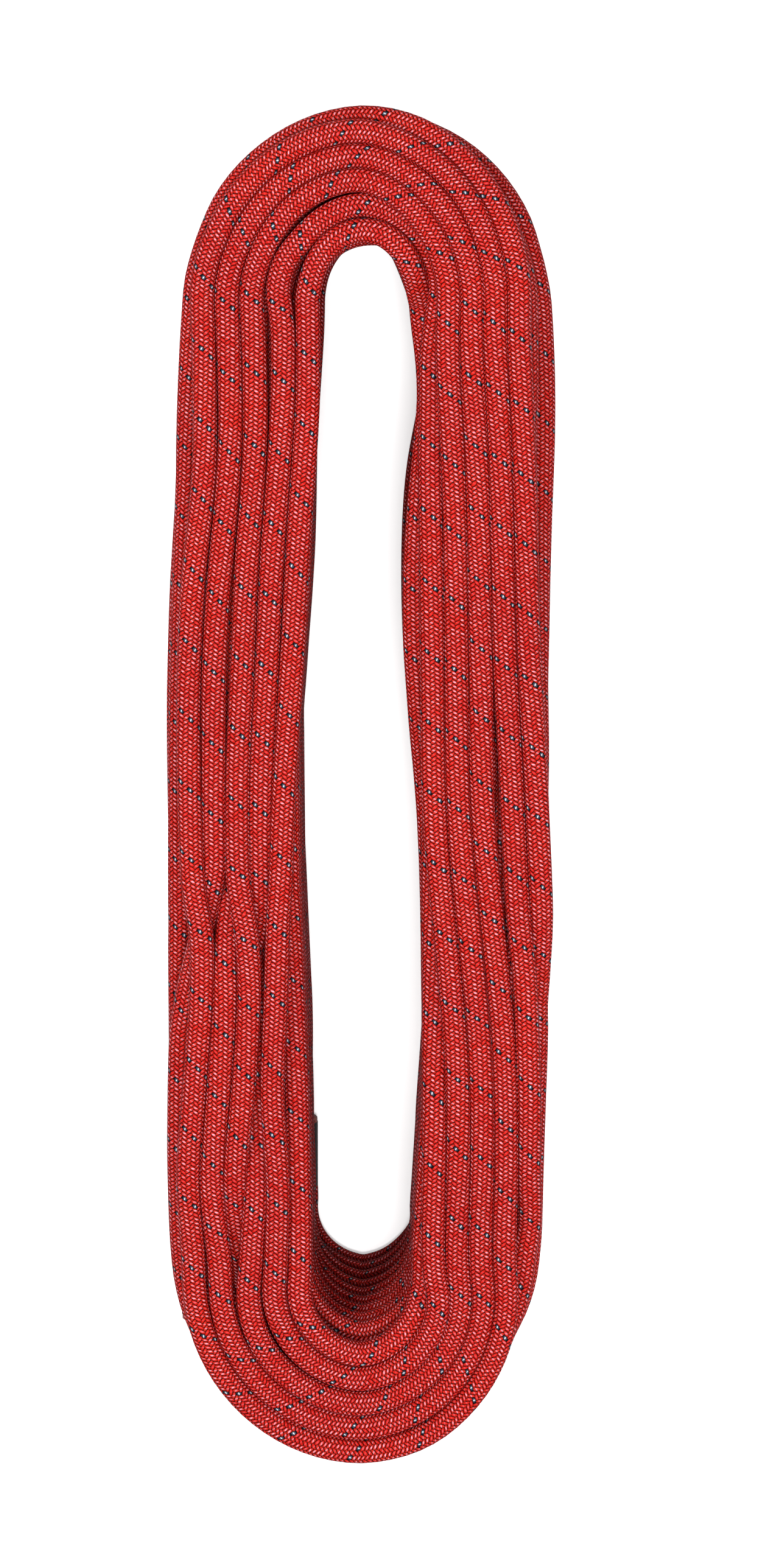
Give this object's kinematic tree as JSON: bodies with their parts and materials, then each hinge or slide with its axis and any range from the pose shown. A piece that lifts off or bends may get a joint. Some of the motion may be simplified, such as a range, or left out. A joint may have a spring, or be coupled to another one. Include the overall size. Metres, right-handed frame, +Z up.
{
  "type": "dynamic climbing rope",
  "caption": "Kernmantle dynamic climbing rope with a braided sheath over parallel core strands, wound as an oval hank with one free end lying along its flank.",
  "frame": {"origin": "middle of the hank's outline, on the surface that it lies on", "axes": "+X across the hank to the right, +Y along the hank towards its top, +Z up out of the hank's front face"},
  "size_m": [0.157, 0.5448, 0.1034],
  "materials": {
    "sheath": "braided polyamide yarn with two-tone tracer specks",
    "core": "twisted polyamide yarn",
    "tape": "thin woven tape",
    "sleeve": "shrunk sleeve",
    "fused_tip": "melted and hardened"
  },
  "bodies": {
    "winding": {"sheath_layer_1": "sheath", "sheath_layer_2": "sheath", "sheath_layer_3": "sheath", "sheath_layer_4": "sheath", "sheath_layer_5": "sheath", "sheath_layer_6": "sheath", "core_layer_1": "core", "core_layer_2": "core", "core_layer_3": "core", "core_layer_4": "core", "core_layer_5": "core", "core_layer_6": "core", "inner_end_sleeve": "sleeve", "inner_fused_tip": "fused_tip"},
    "free_tail": {"tail_sheath": "sheath", "tail_core_strand_middle": "core", "tail_core_strand_1": "core", "tail_core_strand_2": "core", "tail_core_strand_3": "core", "tail_core_strand_4": "core", "tail_core_strand_5": "core", "tail_core_strand_6": "core", "tail_identification_tape": "tape", "tail_end_sleeve": "sleeve", "tail_fused_tip": "fused_tip"}
  },
  "joints": [
    {"name": "free_tail_swing", "type": "hinge", "parent": "winding", "child": "free_tail", "pos_m": [-0.0785, -0.04005, 0.0049], "axis": [0, 0, -1], "range_deg": [0, 70]}
  ]
}
